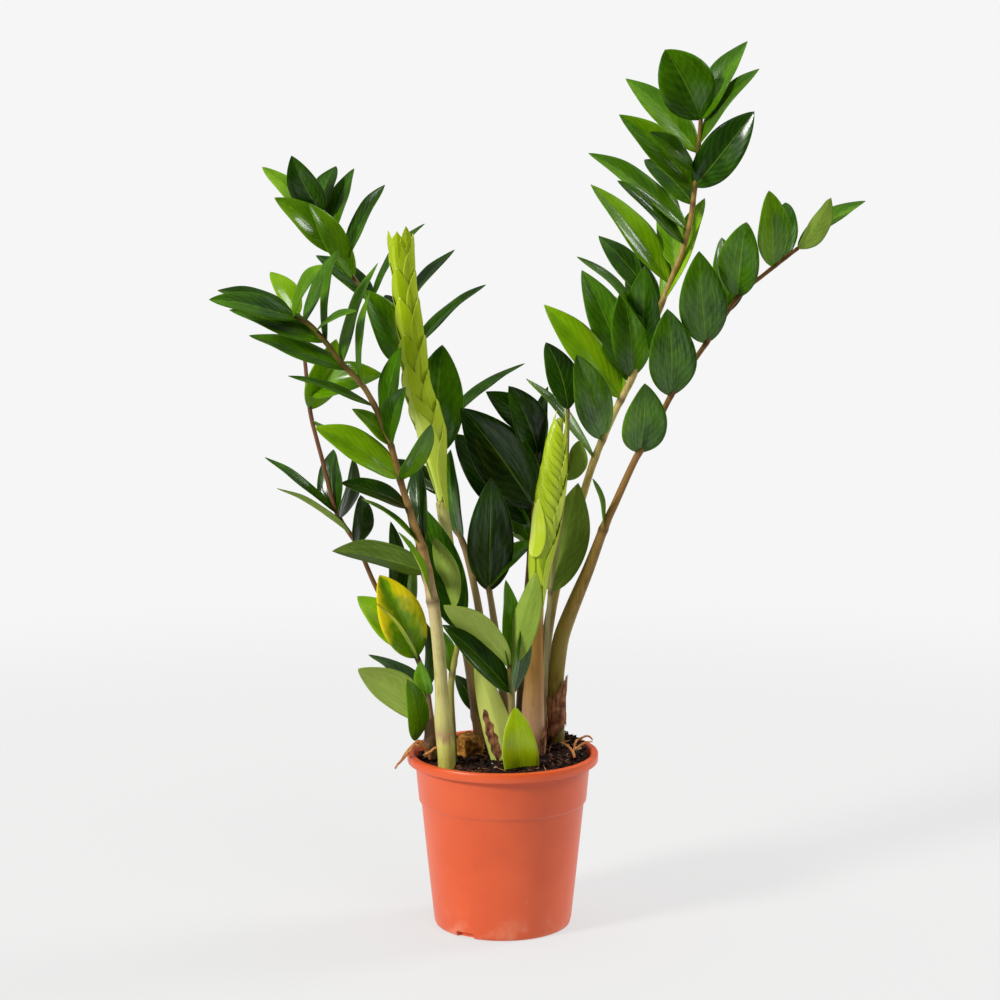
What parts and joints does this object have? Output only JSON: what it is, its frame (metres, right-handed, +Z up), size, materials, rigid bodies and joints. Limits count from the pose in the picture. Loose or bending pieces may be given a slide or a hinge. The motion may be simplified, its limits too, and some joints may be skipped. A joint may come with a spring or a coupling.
{
  "type": "potted zz plant",
  "caption": "Potted ZZ plant: upright fronds of glossy oval leaves and rolled new shoots, rooted in soil in a round plastic nursery pot that stands on its base.",
  "frame": {"origin": "centre of the pot's underside, on the surface the pot stands on", "axes": "+Z up along the pot's axis; -Y is the front, where the low leaves and the short sheath are; the tallest frond leans to +X"},
  "size_m": [0.5561, 0.2169, 0.7807],
  "materials": {
    "pot": "satin moulded plastic, terracotta orange",
    "soil": "loose peat with bark",
    "leaf_dark": "waxy, glossy",
    "leaf_mid": "waxy, glossy",
    "leaf_bright": "waxy, glossy",
    "leaf_under_side": "matt, paler",
    "leaf_yellow_edged": "waxy, green turning yellow at the edge",
    "stalk_pale": "smooth, satin",
    "stalk_brown": "smooth, satin",
    "new_shoot": "satin, soft",
    "dry_scale": "papery, matt",
    "dry_root": "woody, matt",
    "rhizome": "corky, matt"
  },
  "bodies": {
    "root": {"nursery_pot": "pot", "potting_soil": "soil", "front_left_stalk": "stalk_pale", "front_left_leaf_01": "leaf_mid", "front_left_leaf_02": "leaf_mid", "front_left_leaf_03": "leaf_mid", "front_left_leaf_04": "leaf_mid", "front_left_leaf_05": "leaf_dark", "front_left_leaf_06": "leaf_bright", "front_left_leaf_07": "leaf_dark", "front_left_leaf_08": "leaf_mid", "front_left_leaf_09": "leaf_dark", "front_left_leaf_10": "leaf_under_side", "front_left_leaf_11": "leaf_mid", "front_left_leaf_12": "leaf_mid", "front_left_leaf_13": "leaf_bright", "front_left_leaf_14": "leaf_mid", "front_left_leaf_15": "leaf_mid", "front_left_leaf_16": "leaf_mid", "front_left_leaf_17": "leaf_bright", "front_left_leaf_18": "leaf_bright", "front_left_leaf_19": "leaf_bright", "front_left_leaf_20": "leaf_dark", "front_left_leaf_21": "leaf_under_side", "right_stalk": "stalk_brown", "right_leaf_01": "leaf_dark", "right_leaf_02": "leaf_dark", "right_leaf_03": "leaf_mid", "right_leaf_04": "leaf_mid", "right_leaf_05": "leaf_mid", "right_leaf_06": "leaf_bright", "right_leaf_07": "leaf_dark", "right_leaf_08": "leaf_under_side", "right_leaf_09": "leaf_mid", "right_leaf_10": "leaf_mid", "far_left_frond": "leaf_mid", "back_left_frond": "leaf_dark", "tall_right_frond": "leaf_mid", "centre_back_frond": "leaf_dark", "behind_shoot_frond": "leaf_dark", "low_front_frond": "leaf_mid", "inner_left_frond": "leaf_mid", "thin_right_frond": "leaf_under_side", "left_shoot_stalk": "stalk_pale", "left_shoot_wrap": "new_shoot", "right_shoot_stalk": "stalk_brown", "right_shoot_wrap": "new_shoot", "front_sheath": "new_shoot", "tall_sheath": "new_shoot", "dry_flake": "dry_scale", "dry_bract_right": "dry_scale", "dry_bract_shoot": "dry_scale", "root_stick_left": "dry_root", "root_stick_right": "dry_root", "rhizome_left": "rhizome", "rhizome_right": "rhizome"}
  },
  "joints": []
}
